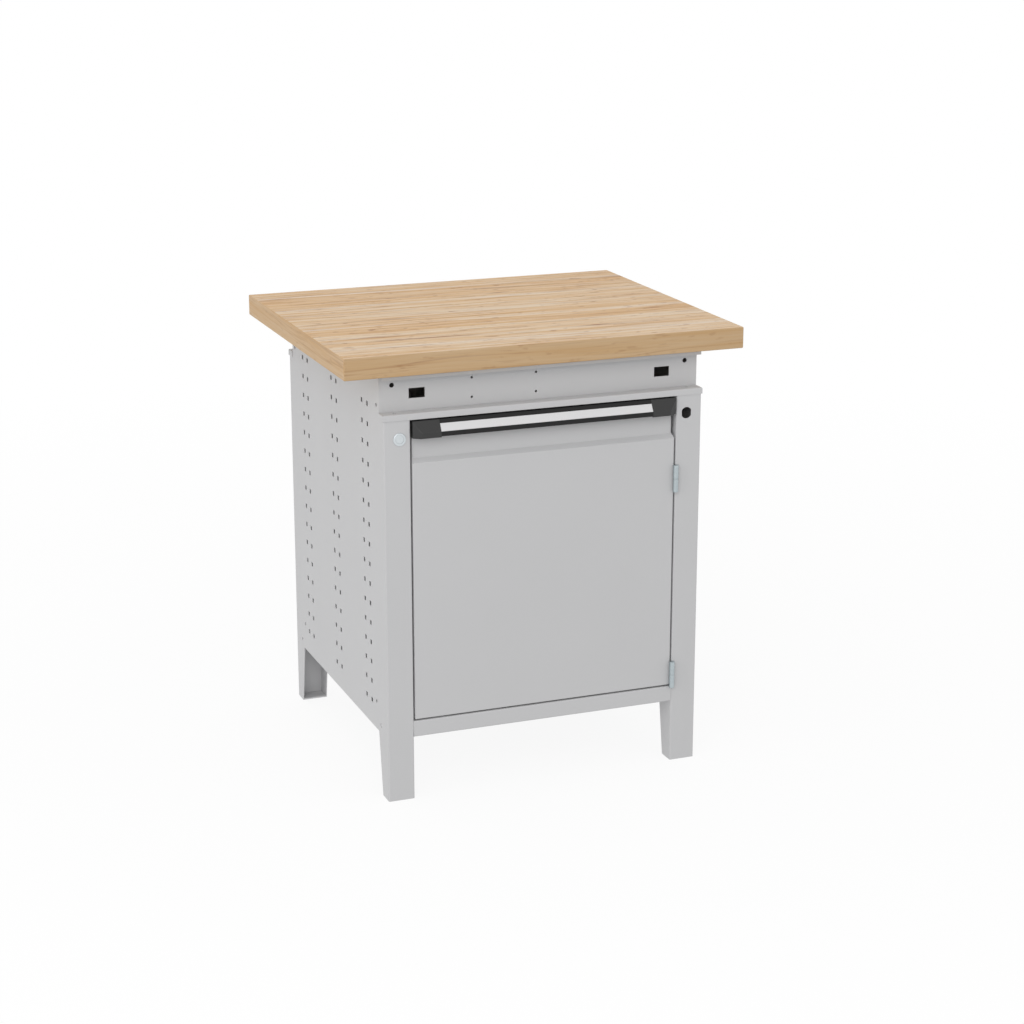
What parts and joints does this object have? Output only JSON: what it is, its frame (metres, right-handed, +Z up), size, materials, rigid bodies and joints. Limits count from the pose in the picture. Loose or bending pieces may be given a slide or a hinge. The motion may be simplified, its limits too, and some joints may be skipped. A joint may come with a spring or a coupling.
{
  "type": "workbench",
  "caption": "Workshop bench with a beech worktop on a grey sheet-steel cabinet with perforated walls, tapered legs, and a hinged door with a full-width handle and a cam lock.",
  "frame": {"origin": "on the floor, under the middle of the worktop", "axes": "+X to the right seen from the front, +Y to the rear, +Z up"},
  "size_m": [0.775, 0.64, 0.85],
  "materials": {
    "grey_paint": "light grey powder coat, satin",
    "beech": "glued beech staves, oiled, satin",
    "dark_plastic": "dark grey moulded plastic, satin",
    "label_strip": "pale label strip behind a clear face",
    "zinc": "bright zinc plate",
    "rubber": "black rubber, matt"
  },
  "bodies": {
    "frame": {"back_panel": "grey_paint", "cabinet_floor": "grey_paint", "door_buffer_lower": "rubber", "door_buffer_upper": "rubber", "door_stop_lower": "grey_paint", "door_stop_upper": "grey_paint", "foot_plate_front_left": "grey_paint", "foot_plate_front_right": "grey_paint", "foot_plate_rear_left": "grey_paint", "foot_plate_rear_right": "grey_paint", "front_apron": "grey_paint", "front_bottom_rail": "grey_paint", "front_top_rail": "grey_paint", "hinge_frame_leaf_lower": "zinc", "hinge_frame_leaf_upper": "zinc", "hinge_pin_lower": "zinc", "hinge_pin_upper": "zinc", "left_side_panel": "grey_paint", "lock_housing": "zinc", "lock_nut": "zinc", "rear_apron": "grey_paint", "rear_bottom_rail": "grey_paint", "rear_top_rail": "grey_paint", "right_side_panel": "grey_paint", "shelf": "grey_paint", "shelf_bracket_front_left": "grey_paint", "shelf_bracket_front_right": "grey_paint", "shelf_bracket_rear_left": "grey_paint", "shelf_bracket_rear_right": "grey_paint", "worktop": "beech", "worktop_screw_front_left": "zinc", "worktop_screw_front_right": "zinc", "worktop_screw_rear_left": "zinc", "worktop_screw_rear_right": "zinc"},
    "door": {"door_panel": "grey_paint", "door_stiffener": "grey_paint", "handle_bar": "dark_plastic", "handle_end_cap_left": "dark_plastic", "handle_end_cap_right": "dark_plastic", "handle_screw_left": "zinc", "handle_screw_right": "zinc", "handle_strip": "label_strip", "hinge_door_leaf_lower": "zinc", "hinge_door_leaf_upper": "zinc"},
    "lock": {"lock_rotor": "zinc", "lock_cam": "zinc", "lock_cam_screw": "zinc"}
  },
  "joints": [
    {"name": "door_hinge", "type": "hinge", "parent": "frame", "child": "door", "pos_m": [0.2595, -0.3086, 0.43], "axis": [0, 0, 1], "range_deg": [0, 150]},
    {"name": "lock_turn", "type": "hinge", "parent": "frame", "child": "lock", "pos_m": [-0.2815, -0.303, 0.692], "axis": [0, -1, 0], "range_deg": [0, 90]}
  ]
}
